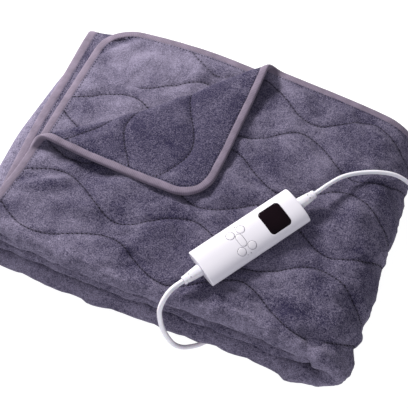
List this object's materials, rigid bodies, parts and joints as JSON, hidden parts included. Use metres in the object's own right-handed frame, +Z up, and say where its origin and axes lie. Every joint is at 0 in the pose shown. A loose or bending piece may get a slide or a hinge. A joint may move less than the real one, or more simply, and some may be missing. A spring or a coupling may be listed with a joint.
{
  "type": "electric heated blanket",
  "caption": "Folded quilted plush electric blanket with bound edges and a turned-back corner, a corded hand controller with display and push keys, and a coiled mains lead with a flat plug.",
  "frame": {"origin": "middle of the flat underside of the folded pile, on the surface it lies on", "axes": "+X along the long front fold to the right, +Y from the front fold to the back edges, +Z up"},
  "size_m": [0.5874, 0.3603, 0.1184],
  "materials": {
    "plush": "short brushed double plush, quilted",
    "binding_tape": "soft knitted tape, sewn on",
    "case_abs": "moulded, satin gloss",
    "key_abs": "moulded, satin gloss",
    "display_acrylic": "smoked, polished",
    "cord_pvc": "soft extruded vinyl",
    "plug_pvc": "moulded vinyl",
    "pin_nickel": "nickel plated, polished"
  },
  "bodies": {
    "folded_blanket": {"blanket": "plush", "edge_binding": "binding_tape", "controller_cover": "case_abs", "controller_base": "case_abs", "display_window": "display_acrylic", "relief_mains": "cord_pvc", "relief_blanket": "cord_pvc", "blanket_lead": "cord_pvc", "mains_lead": "cord_pvc", "mains_coil": "cord_pvc", "plug_body": "plug_pvc", "plug_pin_left": "pin_nickel", "plug_pin_right": "pin_nickel"},
    "power_key": {"key_power": "key_abs"},
    "heat_up_key": {"key_heat_up": "key_abs"},
    "heat_down_key": {"key_heat_down": "key_abs"},
    "time_up_key": {"key_time_up": "key_abs"},
    "time_down_key": {"key_time_down": "key_abs"}
  },
  "joints": [
    {"name": "power_press", "type": "slide", "parent": "folded_blanket", "child": "power_key", "axis": [0.0937, -0.1473, 0.9846], "range_m": [-0.0006, 0], "stiffness_N_per_m": 400},
    {"name": "heat_up_press", "type": "slide", "parent": "folded_blanket", "child": "heat_up_key", "axis": [0.0937, -0.1473, 0.9846], "range_m": [-0.0006, 0], "stiffness_N_per_m": 400},
    {"name": "heat_down_press", "type": "slide", "parent": "folded_blanket", "child": "heat_down_key", "axis": [0.0937, -0.1473, 0.9846], "range_m": [-0.0006, 0], "stiffness_N_per_m": 400},
    {"name": "time_up_press", "type": "slide", "parent": "folded_blanket", "child": "time_up_key", "axis": [0.0937, -0.1473, 0.9846], "range_m": [-0.0006, 0], "stiffness_N_per_m": 400},
    {"name": "time_down_press", "type": "slide", "parent": "folded_blanket", "child": "time_down_key", "axis": [0.0937, -0.1473, 0.9846], "range_m": [-0.0006, 0], "stiffness_N_per_m": 400}
  ]
}
